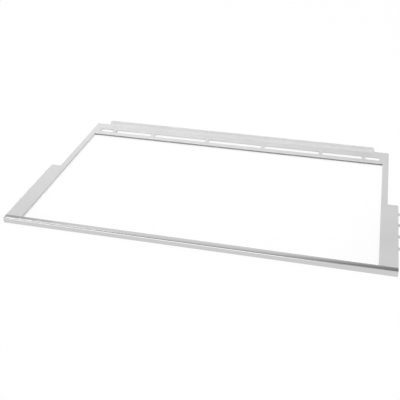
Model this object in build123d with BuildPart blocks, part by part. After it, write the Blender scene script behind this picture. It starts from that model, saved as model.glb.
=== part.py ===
"""Glass refrigerator shelf, in millimetres.

A tempered glass panel is held in the groove of a one-piece moulded frame. The frame's side rails
widen into wings on their front half, its rear rail has a row of air slots and an upstand, and a
bright trim snaps over its front rail. The origin is the centre of the footprint on the underside:
+X is right, +Y is the rear and +Z is up.
"""

import math
import os

from build123d import *

# Overall sizes
shelf_width = 500.0
shelf_depth = 310.0
rail_height = 8.0

# Width of the border, from the clear opening outwards
side_rail_width = 8.6
front_rail_depth = 8.0
rear_rail_depth = 37.4

# Wings on the front half of the side rails
wing_overhang = 14.0
wing_depth = 153.5

# Glass panel and the groove that holds it
glass_thickness = 3.2
glass_cover = 4.6
glass_front_cover = 4.0
glass_corner = 3.0
glass_arris = 0.4
glass_edge_gap = 0.3
lower_lip = 2.8
lower_setback = 1.2
lower_taper_depth = 3.7
lower_taper_height = 2.0
lip_bevel = 0.8

# Moulded walls, ribs and rounded edges
plate = 2.0
wall = 2.0
rib = 1.6
rib_recess = 2.6
outline_corner = 1.0
edge_round = 0.7

# Nubs on the outer side of each wing
nub_count = 4
nub_pitch = 27.4
nub_setback = 18.5
nub_drop = 2.0
nub_length = 3.0
nub_height = 2.4
nub_reach = 2.6
nub_round = 1.2

# Row of air slots in the rear rail
slot_pitch = 89.4
slot_bridge = 5.5
slot_width = 10.7
slot_setback = 8.9
slot_corner = 1.5
slot_bevel = 0.4
slot_end_margin = 13.4
end_slot_length = 20.6

# Upstand along the rear edge
upstand_height = 7.3
upstand_thickness = 2.2
upstand_end_margin = 21.2
upstand_end_slope = 3.0
upstand_corner = 3.5
upstand_cove = 4.0
upstand_edge_round = 0.8

# Bright trim over the front rail
trim_wall = 1.2
trim_round = 1.6
trim_lower_round = 1.0
trim_end_round = 0.5
trim_lower_leg = 2.8
trim_hook_length = 0.8
trim_hook_height = 0.6
trim_relief = 0.3

# Places worked out from the sizes
front_y = -shelf_depth / 2
rear_y = shelf_depth / 2
opening_front_y = front_y + front_rail_depth
opening_rear_y = rear_y - rear_rail_depth
step_y = front_y + wing_depth
wing_x = shelf_width / 2
rail_x = wing_x - wing_overhang
opening_x = rail_x - side_rail_width
opening_middle_y = (opening_front_y + opening_rear_y) / 2
opening_depth = opening_rear_y - opening_front_y

glass_x = opening_x + glass_cover
glass_front_y = opening_front_y - glass_front_cover
glass_rear_y = opening_rear_y + glass_cover
glass_middle_y = (glass_front_y + glass_rear_y) / 2
glass_depth = glass_rear_y - glass_front_y
glass_top = lower_lip + glass_thickness
groove_x = glass_x + glass_edge_gap
groove_rear_y = glass_rear_y + glass_edge_gap
ledge_x = opening_x + lower_setback
ledge_depth = opening_depth + lower_setback
lower_taper = math.degrees(math.atan2(lower_taper_depth, lower_taper_height))

pocket_top = rail_height - plate
rib_height = pocket_top - rib_recess
wing_pocket_x = groove_x + wall
wing_pocket_width = wing_x - wall - wing_pocket_x
wing_pocket_front_y = opening_front_y + wall
wing_pocket_depth = step_y - wall - wing_pocket_front_y
rear_pocket_x = rail_x - wall
rear_pocket_front_y = groove_rear_y + wall
rear_pocket_depth = rear_y - wall - rear_pocket_front_y

slot_front_y = opening_rear_y + slot_setback
slot_rear_y = slot_front_y + slot_width
slot_row_end = rail_x - slot_end_margin
upstand_x = rail_x - upstand_end_margin
upstand_front_y = rear_y - upstand_thickness
upstand_top = rail_height + upstand_height
cove_toe_y = upstand_front_y - upstand_cove
cove_top = rail_height + upstand_cove
overcut = 1.0

sides = (-1, 1)
bridge_offsets = (slot_pitch / 2, 1.5 * slot_pitch, slot_row_end - end_slot_length - slot_bridge / 2)
bridges = sorted(side * offset for side in sides for offset in bridge_offsets)
slot_starts = [-slot_row_end] + [bridge + slot_bridge / 2 for bridge in bridges]
slot_ends = [bridge - slot_bridge / 2 for bridge in bridges] + [slot_row_end]
slots = list(zip(slot_starts, slot_ends))
nubs = [step_y - nub_setback - index * nub_pitch for index in range(nub_count)]
nub_foot = rail_height - nub_drop - nub_height


# Frame: the plate of the border first, open at the front where the trim closes it
with BuildPart() as frame:
    with BuildSketch() as outline:
        with BuildLine():
            Polyline(
                (-wing_x, opening_front_y),
                (wing_x, opening_front_y),
                (wing_x, step_y),
                (rail_x, step_y),
                (rail_x, rear_y),
                (-rail_x, rear_y),
                (-rail_x, step_y),
                (-wing_x, step_y),
                close=True,
            )
        make_face()
        corners_behind_the_trim = outline.vertices().filter_by_position(Axis.Y, step_y, rear_y)
        fillet(corners_behind_the_trim, outline_corner)
        with Locations((0, opening_middle_y)):
            Rectangle(2 * opening_x, opening_depth, mode=Mode.SUBTRACT)
        inner_corners = outline.vertices().filter_by_position(Axis.X, -opening_x, opening_x)
        fillet(inner_corners.filter_by_position(Axis.Y, opening_rear_y, rear_y), outline_corner)
    extrude(amount=rail_height)
    fillet(frame.edges().group_by(Axis.Z)[-1], edge_round)

    # Front rail that the trim snaps over, with a notch for the hook of the trim
    with BuildSketch(Plane.YZ) as front_rail:
        with BuildLine():
            Polyline(
                (front_y + trim_wall, trim_wall),
                (front_y + trim_lower_leg - trim_hook_length, trim_wall),
                (front_y + trim_lower_leg - trim_hook_length, trim_wall + trim_hook_height),
                (front_y + trim_lower_leg, trim_wall + trim_hook_height),
                (front_y + trim_lower_leg, 0),
                (opening_front_y, 0),
                (opening_front_y, rail_height - trim_wall),
                (front_y + trim_wall, rail_height - trim_wall),
                close=True,
            )
        make_face()
        upper_front_corner = front_rail.vertices().group_by(Axis.Y)[-1].sort_by(Axis.X)[0]
        fillet(upper_front_corner, trim_round - trim_wall + trim_relief)
    extrude(amount=wing_x - trim_wall, both=True)

    # Groove for the glass
    with BuildSketch(Plane.XY.offset(lower_lip)):
        with Locations((0, glass_middle_y)):
            RectangleRounded(
                2 * groove_x, glass_depth + 2 * glass_edge_gap, glass_corner + glass_edge_gap
            )
    extrude(amount=glass_thickness, mode=Mode.SUBTRACT)

    # Bevel under the rear lip that lies on the glass
    with BuildSketch(Plane.YZ):
        with BuildLine():
            Polyline(
                (opening_rear_y - overcut, glass_top),
                (opening_rear_y + lip_bevel, glass_top),
                (opening_rear_y - overcut, glass_top + lip_bevel + overcut),
                close=True,
            )
        make_face()
    extrude(amount=opening_x, both=True, mode=Mode.SUBTRACT)

    # Ledge under the glass, set back and tapered, so that it hardly shows through the glass
    with BuildSketch():
        with Locations((0, opening_front_y)):
            Rectangle(2 * ledge_x, ledge_depth, align=(Align.CENTER, Align.MIN))
    extrude(amount=lower_lip, mode=Mode.SUBTRACT)
    with BuildSketch():
        with Locations((0, opening_front_y)):
            Rectangle(
                2 * (ledge_x + lower_taper_depth),
                ledge_depth + lower_taper_depth,
                align=(Align.CENTER, Align.MIN),
            )
    extrude(amount=lower_taper_height, taper=lower_taper, mode=Mode.SUBTRACT)

    # Hollow underside of the wings and of the rear rail
    with BuildSketch():
        for side in sides:
            with Locations((side * (wing_pocket_x + wing_pocket_width / 2), wing_pocket_front_y)):
                Rectangle(wing_pocket_width, wing_pocket_depth, align=(Align.CENTER, Align.MIN))
        with Locations((0, rear_pocket_front_y)):
            Rectangle(2 * rear_pocket_x, rear_pocket_depth, align=(Align.CENTER, Align.MIN))
    extrude(amount=pocket_top, mode=Mode.SUBTRACT)

    # Air slots through the plate of the rear rail
    with BuildSketch():
        for start, end in slots:
            with Locations(((start + end) / 2, (slot_front_y + slot_rear_y) / 2)):
                RectangleRounded(end - start, slot_width, slot_corner)
    extrude(amount=rail_height, mode=Mode.SUBTRACT)
    slot_rims = frame.edges(Select.LAST).group_by(Axis.Z)[-1]
    chamfer(slot_rims, slot_bevel)

    # Ribs: across each wing behind its nubs, and across the rear rail between the slots
    with BuildSketch(Plane.XY.offset(rib_recess)):
        for side in sides:
            for nub_y in nubs:
                with Locations((side * (wing_pocket_x + wing_pocket_width / 2), nub_y)):
                    Rectangle(wing_pocket_width, rib)
        for bridge in bridges:
            with Locations((bridge, rear_pocket_front_y)):
                Rectangle(rib, rear_pocket_depth, align=(Align.CENTER, Align.MIN))
    extrude(amount=rib_height)

    # Nubs that keep the wings off the side walls of the refrigerator
    with BuildSketch(Plane.XY.offset(nub_foot)) as nub_outlines:
        for side, align in zip(sides, (Align.MAX, Align.MIN)):
            for nub_y in nubs:
                with Locations((side * wing_x, nub_y)):
                    Rectangle(nub_reach, nub_length, align=(align, Align.CENTER))
        nub_corners = nub_outlines.vertices()
        fillet(nub_corners.group_by(Axis.X)[0] + nub_corners.group_by(Axis.X)[-1], nub_round)
    extrude(amount=nub_height)

    # Upstand with a rounded top, joined to the plate by a hollow curve
    with BuildSketch(Plane.YZ) as upstand_section:
        with BuildLine():
            Polyline(
                (upstand_front_y, cove_top),
                (upstand_front_y, upstand_top),
                (rear_y, upstand_top),
                (rear_y, pocket_top),
                (cove_toe_y, pocket_top),
                (cove_toe_y, rail_height),
            )
            RadiusArc((cove_toe_y, rail_height), (upstand_front_y, cove_top), -upstand_cove)
        make_face()
        fillet(upstand_section.vertices().group_by(Axis.Y)[-1], upstand_edge_round)
    extrude(amount=upstand_x, both=True)

    # Sloping ends of the upstand, with rounded corners
    with BuildSketch(Plane.XZ.offset(-rear_y)) as around_the_upstand:
        with Locations((0, rail_height)):
            Rectangle(2 * rail_x, upstand_height + overcut, align=(Align.CENTER, Align.MIN))
        with BuildLine():
            Polyline(
                (-upstand_x, rail_height),
                (upstand_x, rail_height),
                (upstand_x - upstand_end_slope, upstand_top),
                (-upstand_x + upstand_end_slope, upstand_top),
                close=True,
            )
        make_face(mode=Mode.SUBTRACT)
        fillet(around_the_upstand.vertices().group_by(Axis.Y)[1], upstand_corner)
    extrude(amount=upstand_thickness + upstand_cove, mode=Mode.SUBTRACT)
frame.part.label = "frame"


# Glass panel: flat sheet with rounded corners and ground edges
with BuildPart() as glass_panel:
    with BuildSketch(Plane.XY.offset(lower_lip)):
        with Locations((0, glass_middle_y)):
            RectangleRounded(2 * glass_x, glass_depth, glass_corner)
    extrude(amount=glass_thickness)
    chamfer(glass_panel.faces().filter_by(Axis.Z).edges(), glass_arris)
glass_panel.part.label = "glass_panel"


# Front trim: channel with closed ends, and a hook on its lower leg that snaps under the front rail
with BuildPart() as front_trim:
    with BuildSketch(Plane.YZ) as trim_outline:
        with Locations((front_y, 0)):
            Rectangle(front_rail_depth, rail_height, align=(Align.MIN, Align.MIN))
        fillet(trim_outline.vertices().group_by(Axis.Y)[-1].sort_by(Axis.X)[0], trim_round)
        fillet(trim_outline.vertices().group_by(Axis.Y)[0].sort_by(Axis.X)[0], trim_lower_round)
    extrude(amount=wing_x, both=True)
    end_faces = front_trim.faces().filter_by(Axis.X)
    end_edges = end_faces.edges().filter_by_position(Axis.Y, front_y, opening_front_y - overcut)
    fillet(end_edges, trim_end_round)
    with BuildSketch(Plane.YZ) as channel:
        with BuildLine():
            Polyline(
                (front_y + trim_wall, trim_wall),
                (front_y + trim_lower_leg - trim_hook_length, trim_wall),
                (front_y + trim_lower_leg - trim_hook_length, trim_wall + trim_hook_height),
                (front_y + trim_lower_leg, trim_wall + trim_hook_height),
                (front_y + trim_lower_leg, -overcut),
                (opening_front_y + overcut, -overcut),
                (opening_front_y + overcut, rail_height - trim_wall),
                (front_y + trim_wall, rail_height - trim_wall),
                close=True,
            )
        make_face()
        upper_front_corner = channel.vertices().group_by(Axis.Y)[-1].sort_by(Axis.X)[0]
        fillet(upper_front_corner, trim_round - trim_wall)
    extrude(amount=wing_x - trim_wall, both=True, mode=Mode.SUBTRACT)
front_trim.part.label = "front_trim"


os.makedirs("parts", exist_ok=True)
for piece in (frame, glass_panel, front_trim):
    export_step(piece.part, f"parts/{piece.part.label}.step")
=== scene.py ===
"""Looks of the glass refrigerator shelf: finishes, front trim, studio and camera, in metres."""

import math

import bmesh
import bpy
import numpy as np
from mathutils import Matrix, Vector


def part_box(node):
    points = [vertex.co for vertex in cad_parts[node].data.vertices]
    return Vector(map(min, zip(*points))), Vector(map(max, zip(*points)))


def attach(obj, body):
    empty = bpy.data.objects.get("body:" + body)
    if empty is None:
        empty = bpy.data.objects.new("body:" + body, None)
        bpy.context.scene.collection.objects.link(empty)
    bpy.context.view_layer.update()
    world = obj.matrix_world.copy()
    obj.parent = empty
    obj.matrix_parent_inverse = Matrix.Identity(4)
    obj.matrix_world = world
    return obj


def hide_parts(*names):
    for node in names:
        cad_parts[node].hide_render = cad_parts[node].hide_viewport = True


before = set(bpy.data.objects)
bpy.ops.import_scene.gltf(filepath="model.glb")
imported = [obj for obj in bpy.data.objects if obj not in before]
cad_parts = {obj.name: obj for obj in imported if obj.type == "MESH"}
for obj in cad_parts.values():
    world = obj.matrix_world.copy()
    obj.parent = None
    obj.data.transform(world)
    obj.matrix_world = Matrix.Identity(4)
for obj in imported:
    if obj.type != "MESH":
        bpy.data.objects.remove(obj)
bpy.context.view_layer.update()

# Camera of the photograph, with its angles in radians and its lens in millimetres
camera_place = (0.18034, -0.84168, 0.48806)
camera_turn_left = 0.23806
camera_tilt_down = 0.53288
camera_roll = 0.0011
camera_lens = 62.69
camera_nearest = 0.01

# Front trim, as in the frame
trim_low, trim_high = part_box("front_trim")
trim_wall = 0.0012
trim_round = 0.0016
trim_lower_round = 0.0010
trim_end_round = 0.0005
trim_lower_leg = 0.0028
trim_hook_length = 0.0008
trim_hook_height = 0.0006
trim_crown_start = math.radians(0.5)
trim_crown_end = math.radians(8.0)
trim_sharp_angle = math.radians(35.0)

# Numbers of points along the lines of the trim
crown_points = 8
rounding_points = 48
running_points = 4000
lower_round_points = 10
inner_round_points = 8
end_round_points = 6

# Colours of the finishes, each at its place on a ramp
plastic_shades = [(0.25, (0.578, 0.578, 0.580)), (0.75, (0.622, 0.622, 0.625))]
metal_shades = [(0.2, (0.570, 0.571, 0.574)), (0.8, (0.650, 0.651, 0.654))]
glass_shades = [(0.0, (0.997, 1.0, 0.999)), (1.0, (0.78, 0.88, 0.84))]
lamplit_glass = (0.93, 0.95, 0.94, 1.0)
white = (1.0, 1.0, 1.0, 1.0)

# Studio floor
floor_reach = 6.0
floor_steps = 2
floor_colour = (0.93, 0.93, 0.93, 1.0)
floor_glow = 0.96

# Studio room: between which values each part sets in, by how far a direction goes right, rearwards or up
ceiling_start = (0.64, 0.86)
front_end = (-0.5, 0.1)
mirrored_rear_start = (0.68, 0.86)
mirrored_front_start = (0.4, 0.6)
mirrored_front_end = (-0.1, 0.1)
mirrored_right_side = (-0.04, 0.04)
behind_start = (0.4, 0.6)
right_card_edge = (0.362, 0.562)
left_card_side = (-0.425, -0.38)
left_card_foot = (0.50, 0.55)
right_card_lean = 0.7
ceiling_darkness = 0.685
mirrored_darkness = 0.5
mirrored_right_loss = 0.8
right_card_darkness = 0.75
left_card_darkness = 0.65
front_gain = 0.59


class Wire:
    """An output socket of a node tree. Arithmetic on it adds Math nodes to the tree."""

    def __init__(self, tree, socket=None):
        self.tree = tree
        self.socket = socket

    def node(self, kind, settings=None, sockets=None, output=0):
        """Adds a node: its settings are set first, then the values or links of its sockets.

        It gives the wire of one output, or a list of wires where several outputs are named.
        """
        made = self.tree.nodes.new(kind)
        for name, value in (settings or {}).items():
            if name == "stops":
                elements = made.color_ramp.elements
                while len(elements) < len(value):
                    elements.new(1.0)
                for element, (position, shade) in zip(elements, value):
                    element.position = position
                    element.color = (*shade, 1.0)
            else:
                setattr(made, name, value)
        for key, value in (sockets or {}).items():
            if isinstance(value, Wire):
                self.tree.links.new(value.socket, made.inputs[key])
            else:
                made.inputs[key].default_value = value
        if isinstance(output, tuple):
            return [Wire(self.tree, made.outputs[name]) for name in output]
        return Wire(self.tree, made.outputs[output]) if made.outputs else made

    def _math(self, operation, first, second=0.0):
        return self.node("ShaderNodeMath", {"operation": operation}, {0: first, 1: second})

    def __add__(self, other):
        return self._math("ADD", self, other)

    def __sub__(self, other):
        return self._math("SUBTRACT", self, other)

    def __rsub__(self, other):
        return self._math("SUBTRACT", other, self)

    def __mul__(self, other):
        return self._math("MULTIPLY", self, other)

    def __abs__(self):
        return self._math("ABSOLUTE", self)

    __radd__ = __add__
    __rmul__ = __mul__

    def larger(self, other):
        """The larger of two values."""
        return self._math("MAXIMUM", self, other)

    def over(self, low, high):
        """0 below low, 1 above high, and a smooth step between them."""
        return self.node(
            "ShaderNodeMapRange",
            {"interpolation_type": "SMOOTHSTEP"},
            {"Value": self, "From Min": low, "From Max": high, "To Min": 0.0, "To Max": 1.0},
        )


def new_material(name):
    """An empty node material, as (material, wire to build its nodes with)."""
    material = bpy.data.materials.new(name)
    material.use_nodes = True
    material.node_tree.nodes.clear()
    return material, Wire(material.node_tree)


def object_point(wire, scale=(1.0, 1.0, 1.0)):
    """Object coordinates times a scale along each axis, so that patterns have a real size."""
    point = wire.node("ShaderNodeTexCoord", output="Object")
    return wire.node("ShaderNodeVectorMath", {"operation": "MULTIPLY"}, {0: point, 1: scale})


def noise(wire, point, size=1.0, detail=2.0, roughness=0.5):
    """Noise from 0 to 1 with features of about 1 / size of the point's unit."""
    return wire.node(
        "ShaderNodeTexNoise",
        None,
        {"Vector": point, "Scale": size, "Detail": detail, "Roughness": roughness},
        output="Fac",
    )


def ramp(wire, shades, place):
    """Colour from a ramp of shades at a place from 0 to 1."""
    return wire.node("ShaderNodeValToRGB", {"stops": shades}, {"Fac": place})


def show(wire, shader):
    """Ends a material with its surface shader."""
    wire.node("ShaderNodeOutputMaterial", None, {"Surface": shader})


def moulded_plastic():
    """Light-grey plastic: faint clouding from the flow of the melt, and a fine eroded grain."""
    material, wire = new_material("moulded_plastic")
    cloud = noise(wire, object_point(wire), size=14.0, detail=3.0)
    grain = noise(wire, object_point(wire), size=1800.0)
    bump = wire.node(
        "ShaderNodeBump", None, {"Strength": 0.12, "Distance": 0.0002, "Height": grain}
    )
    surface = wire.node(
        "ShaderNodeBsdfPrincipled",
        None,
        {
            "Base Color": ramp(wire, plastic_shades, cloud),
            "Roughness": 0.40 + 0.12 * grain,
            "IOR": 1.5,
            "Normal": bump,
        },
    )
    show(wire, surface)
    return material


def drawn_metal():
    """Bright drawn metal: fine lines along the strip, with slight changes of gloss."""
    material, wire = new_material("drawn_metal")
    lines = noise(wire, object_point(wire, scale=(4.0, 2600.0, 2600.0)))
    haze = noise(wire, object_point(wire), size=40.0, detail=3.0)
    bump = wire.node(
        "ShaderNodeBump", None, {"Strength": 0.05, "Distance": 0.0001, "Height": lines}
    )
    surface = wire.node(
        "ShaderNodeBsdfPrincipled",
        None,
        {
            "Base Color": ramp(wire, metal_shades, lines),
            "Metallic": 1.0,
            "Roughness": 0.14 + 0.08 * haze,
            "Normal": bump,
        },
    )
    show(wire, surface)
    return material


def tempered_glass():
    """Clear tempered glass with ground edges. Lamps shine through it."""
    material, wire = new_material("tempered_glass")
    low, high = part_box("glass_panel")
    ground_width = 0.0006
    ground_roughness = 0.35
    point = wire.node("ShaderNodeTexCoord", output="Object")
    across, along = wire.node("ShaderNodeSeparateXYZ", None, {"Vector": point}, output=("X", "Y"))
    side = abs(across).over(high.x - ground_width, high.x)
    rear = along.over(high.y - ground_width, high.y)
    front = 1 - along.over(low.y, low.y + ground_width)
    ground = side.larger(rear).larger(front)
    glass = wire.node(
        "ShaderNodeBsdfPrincipled",
        None,
        {
            "Base Color": ramp(wire, glass_shades, ground),
            "Roughness": ground_roughness * ground,
            "IOR": 1.52,
            "Transmission Weight": 1.0,
        },
    )
    clear = wire.node("ShaderNodeBsdfTransparent", None, {"Color": lamplit_glass})
    lamp_ray = wire.node("ShaderNodeLightPath", output="Is Shadow Ray")
    show(wire, wire.node("ShaderNodeMixShader", None, {0: lamp_ray, 1: glass, 2: clear}))
    return material


def looking_rays(wire):
    """Wires that are 1 for rays by which the camera, glossy faces and glass look at a surface, and else 0."""
    return wire.node(
        "ShaderNodeLightPath", output=("Is Camera Ray", "Is Glossy Ray", "Is Transmission Ray")
    )


def pale_floor():
    """White studio floor: mostly bright by itself where it is looked at, and keeping a soft shadow."""
    material, wire = new_material("pale_floor")
    camera, glossy, through = looking_rays(wire)
    matt = wire.node("ShaderNodeBsdfDiffuse", None, {"Color": floor_colour})
    bright = wire.node("ShaderNodeEmission", None, {"Color": white, "Strength": 1.0})
    share = floor_glow * camera.larger(glossy).larger(through)
    show(wire, wire.node("ShaderNodeMixShader", None, {0: share, 1: matt, 2: bright}))
    return material


def mesh_piece(name, points, faces, material):
    """A mesh object at the origin from vertex and face arrays, with doubles merged and faces outwards."""
    merge_distance = 1e-7
    mesh = bpy.data.meshes.new(name)
    mesh.from_pydata(points.tolist(), [], [list(face) for face in faces])
    shape = bmesh.new()
    shape.from_mesh(mesh)
    bmesh.ops.remove_doubles(shape, verts=shape.verts, dist=merge_distance)
    bmesh.ops.dissolve_degenerate(shape, edges=shape.edges, dist=merge_distance)
    bmesh.ops.recalc_face_normals(shape, faces=shape.faces)
    shape.to_mesh(mesh)
    shape.free()
    mesh.materials.append(material)
    piece = bpy.data.objects.new(name, mesh)
    bpy.context.scene.collection.objects.link(piece)
    return piece


def grid_faces(rows, columns, around=False):
    """Corner numbers of the quads of a grid of rows by columns points, closed in columns if around."""
    last = columns if around else columns - 1
    row, column = np.meshgrid(np.arange(rows - 1), np.arange(last), indexing="ij")
    here = (row * columns + column).ravel()
    beside = (row * columns + (column + 1) % columns).ravel()
    return np.stack([here, beside, beside + columns, here + columns], axis=1)


def arc(centre, radius, start, end, count):
    """Points (y, z) on a circle from a start to an end angle, in degrees from +y towards +z."""
    angle = np.radians(np.linspace(start, end, count))
    return np.stack([centre[0] + radius * np.cos(angle), centre[1] + radius * np.sin(angle)], axis=1)


def crowned_top(depth):
    """Line (y, z) from the trim's rear edge to its front face, falling as it goes.

    Its slope grows evenly from the crown's start to its end angle over the top, and then to upright
    over the front rounding. The line is the running sum of small steps at those slopes. The length of
    the top is corrected three times, so that the line ends at the given depth.
    """
    bend = trim_round * (math.pi / 2 - trim_crown_end)
    length = depth - trim_round

    def line(flat):
        way = np.linspace(0.0, flat + bend, running_points)
        slope = np.interp(way, [0.0, flat, flat + bend], [trim_crown_start, trim_crown_end, math.pi / 2])
        step = np.diff(way)
        middle = (slope[1:] + slope[:-1]) / 2
        y = np.concatenate([[0.0], np.cumsum(np.cos(middle) * step)])
        z = np.concatenate([[0.0], np.cumsum(-np.sin(middle) * step)])
        return way, y, z

    for _ in range(3):
        length += depth - line(length)[1][-1]
    way, y, z = line(length)
    top = np.linspace(0.0, length, crown_points, endpoint=False)
    kept = np.concatenate([top, np.linspace(length, way[-1], rounding_points)])
    return np.stack([-np.interp(kept, way, y), np.interp(kept, way, z)], axis=1)


def trim_section():
    """Section (y, z) of the trim, as its outer line and two closing lines with equal numbers of points.

    The outer line runs over the top, down the front and under to the end of the lower leg. From there
    the channel line returns inside, and the end line returns round the section's full outline.
    """
    front, rear = trim_low.y, trim_high.y
    bottom, top = trim_low.z, trim_high.z
    over = crowned_top(rear - front) + np.array([rear, top])
    lower_centre = (front + trim_lower_round, bottom + trim_lower_round)
    below = arc(lower_centre, trim_lower_round, 180.0, 270.0, lower_round_points)
    leg_end = np.array([[front + trim_lower_leg, bottom]])
    outer = np.concatenate([over, below, leg_end])
    inner_round = trim_round - trim_wall
    hook_y = front + trim_lower_leg - trim_hook_length
    hook_z = bottom + trim_wall + trim_hook_height
    under_top = top - trim_wall
    inside_front = front + trim_wall
    inner_centre = (inside_front + inner_round, under_top - inner_round)
    channel = np.concatenate([
        [(front + trim_lower_leg, hook_z), (hook_y, hook_z), (hook_y, bottom + trim_wall)],
        [(inside_front, bottom + trim_wall)],
        arc(inner_centre, inner_round, 180.0, 90.0, inner_round_points),
        [(rear, under_top)],
    ])
    corner = len(channel) // 2
    along = np.linspace(leg_end[0, 0], rear, corner + 1)[1:]
    up = np.linspace(bottom, under_top, len(channel) - corner + 1)[1:]
    end = np.concatenate([
        np.stack([along, np.full_like(along, bottom)], axis=1),
        np.stack([np.full_like(up, rear), up], axis=1),
    ])
    return outer, channel, end


def drawn_trim(material):
    """Front trim: its section carried along x, with closed ends whose outer edges are rounded.

    At each end the full outline draws in by r(1 - cos a) while x goes on by r sin a, for a from 0 to
    a right angle, and between the end walls the channel line takes the place of the end line.
    """
    outer, channel, end = trim_section()
    tangent = np.gradient(outer, axis=0)
    inward = np.stack([-tangent[:, 1], tangent[:, 0]], axis=1)
    inward /= np.linalg.norm(inward, axis=1, keepdims=True)
    inward[0] = (0.0, -1.0)
    inward[-1] = (0.0, 1.0)
    lift = np.where(end[:, 1:] <= trim_low.z, np.array([[0.0, 1.0]]), 0.0)
    angle = np.linspace(math.pi / 2, 0.0, end_round_points)
    draw_in = trim_end_round * (1 - np.cos(angle))
    end_x = trim_high.x - trim_end_round * (1 - np.sin(angle))
    full = [np.concatenate([outer + inset * inward, end + inset * lift]) for inset in draw_in]
    stations = list(zip(end_x, full))
    stations.append((trim_high.x - trim_wall, full[-1]))
    stations.append((trim_high.x - trim_wall, np.concatenate([outer, channel])))
    stations += [(-x, section) for x, section in reversed(stations)]
    columns = len(outer) + len(channel)
    points = np.concatenate([
        np.column_stack([np.full(columns, x), section]) for x, section in stations
    ])
    faces = grid_faces(len(stations), columns, around=True).tolist()
    faces += [list(range(columns)), list(range(len(points) - columns, len(points)))]
    trim = mesh_piece("drawn_trim", points, faces, material)
    trim.data.shade_smooth()
    trim.data.set_sharp_from_angle(angle=trim_sharp_angle)
    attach(trim, "root")
    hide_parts("front_trim")
    return trim


def studio_floor():
    """Flat square, x and y each from -reach to reach, at the height of the shelf's underside."""
    line = np.linspace(-floor_reach, floor_reach, floor_steps)
    x, y = np.meshgrid(line, line, indexing="ij")
    points = np.stack([x, y, np.zeros_like(x)], axis=-1).reshape(-1, 3)
    floor = mesh_piece("studio_floor", points, grid_faces(floor_steps, floor_steps), pale_floor())
    return floor


def softbox(name, place, aim, width, height, power, mirrored=True):
    """Area lamp at a place, turned towards a point, and seen in glossy faces if mirrored."""
    lamp = bpy.data.lights.new(name, "AREA")
    lamp.shape = "RECTANGLE"
    lamp.size = width
    lamp.size_y = height
    lamp.energy = power
    holder = bpy.data.objects.new(name, lamp)
    holder.location = place
    holder.rotation_mode = "QUATERNION"
    holder.rotation_quaternion = (Vector(aim) - Vector(place)).to_track_quat("-Z", "Y")
    holder.visible_camera = False
    holder.visible_glossy = mirrored
    bpy.context.scene.collection.objects.link(holder)
    return holder


def studio_world():
    """White room past the floor, plain white to the camera and through glass.

    Its ceiling is dark, and more light comes from the front. Glossy faces see another room: a ceiling
    that is less dark, least of all at the right, and a dark card at the rear on either side. The edge of
    the right card leans to the left as it goes up.
    """
    world = bpy.data.worlds.new("studio_world")
    world.use_nodes = True
    world.node_tree.nodes.clear()
    wire = Wire(world.node_tree)
    way = wire.node("ShaderNodeTexCoord", output="Generated")
    right, rear, up = wire.node("ShaderNodeSeparateXYZ", None, {"Vector": way}, output=("X", "Y", "Z"))
    camera, glossy, through = looking_rays(wire)
    front = 1 - rear.over(*front_end)
    lit = (1 - ceiling_darkness * up.over(*ceiling_start)) * (1 + front_gain * front)
    front_ceiling = (1 - rear.over(*mirrored_front_end)) * up.over(*mirrored_front_start)
    fading = 1 - mirrored_right_loss * right.over(*mirrored_right_side)
    ceiling = up.over(*mirrored_rear_start).larger(front_ceiling) * fading
    behind = rear.over(*behind_start)
    right_card = (right + right_card_lean * up).over(*right_card_edge) * behind
    left_card = (1 - right.over(*left_card_side)) * up.over(*left_card_foot) * behind
    dark = (mirrored_darkness * ceiling).larger(right_card_darkness * right_card)
    mirrored = (1 - dark) * (1 - left_card_darkness * left_card)
    room = lit + glossy * (mirrored - lit)
    plain = camera.larger(through)
    level = plain + room * (1 - plain)
    background = wire.node("ShaderNodeBackground", None, {"Color": white, "Strength": level})
    wire.node("ShaderNodeOutputWorld", None, {"Surface": background})
    bpy.context.scene.world = world


def photograph_camera():
    """Camera at the photograph's place, looking down and slightly to the left."""
    data = bpy.data.cameras.new("photograph_camera")
    data.lens = camera_lens
    data.clip_start = camera_nearest
    camera = bpy.data.objects.new("photograph_camera", data)
    camera.location = camera_place
    turn = Matrix.Rotation(camera_turn_left, 3, "Z")
    tilt = Matrix.Rotation(math.pi / 2 - camera_tilt_down, 3, "X")
    roll = Matrix.Rotation(camera_roll, 3, "Z")
    camera.rotation_euler = (turn @ tilt @ roll).to_euler()
    bpy.context.scene.collection.objects.link(camera)
    bpy.context.scene.camera = camera


def dress(node, material):
    """Gives a node of the frame its finish."""
    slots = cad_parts[node].data.materials
    slots.clear()
    slots.append(material)


dress("frame", moulded_plastic())
dress("glass_panel", tempered_glass())
metal = drawn_metal()
dress("front_trim", metal)
drawn_trim(metal)
studio_floor()
studio_world()
softbox(
    "left_softbox",
    place=(-0.93, 0.62, 1.18),
    aim=(-0.2, -0.15, 0.0),
    width=0.2,
    height=0.13,
    power=0.75,
)
softbox(
    "side_softbox",
    place=(-0.72, 0.62, 1.18),
    aim=(-0.72, -0.15, 0.0),
    width=0.26,
    height=0.13,
    power=0.53,
)
softbox(
    "rear_softbox",
    place=(-0.15, 0.22, 0.36),
    aim=(-0.15, 0.14, 0.0),
    width=0.56,
    height=0.12,
    power=0.5,
    mirrored=False,
)
softbox(
    "front_softbox",
    place=(-0.6, -2.0, 0.7),
    aim=(0.0, 0.1, 0.0),
    width=1.35,
    height=1.35,
    power=6.6,
)
photograph_camera()
bpy.context.scene.view_settings.view_transform = "Standard"
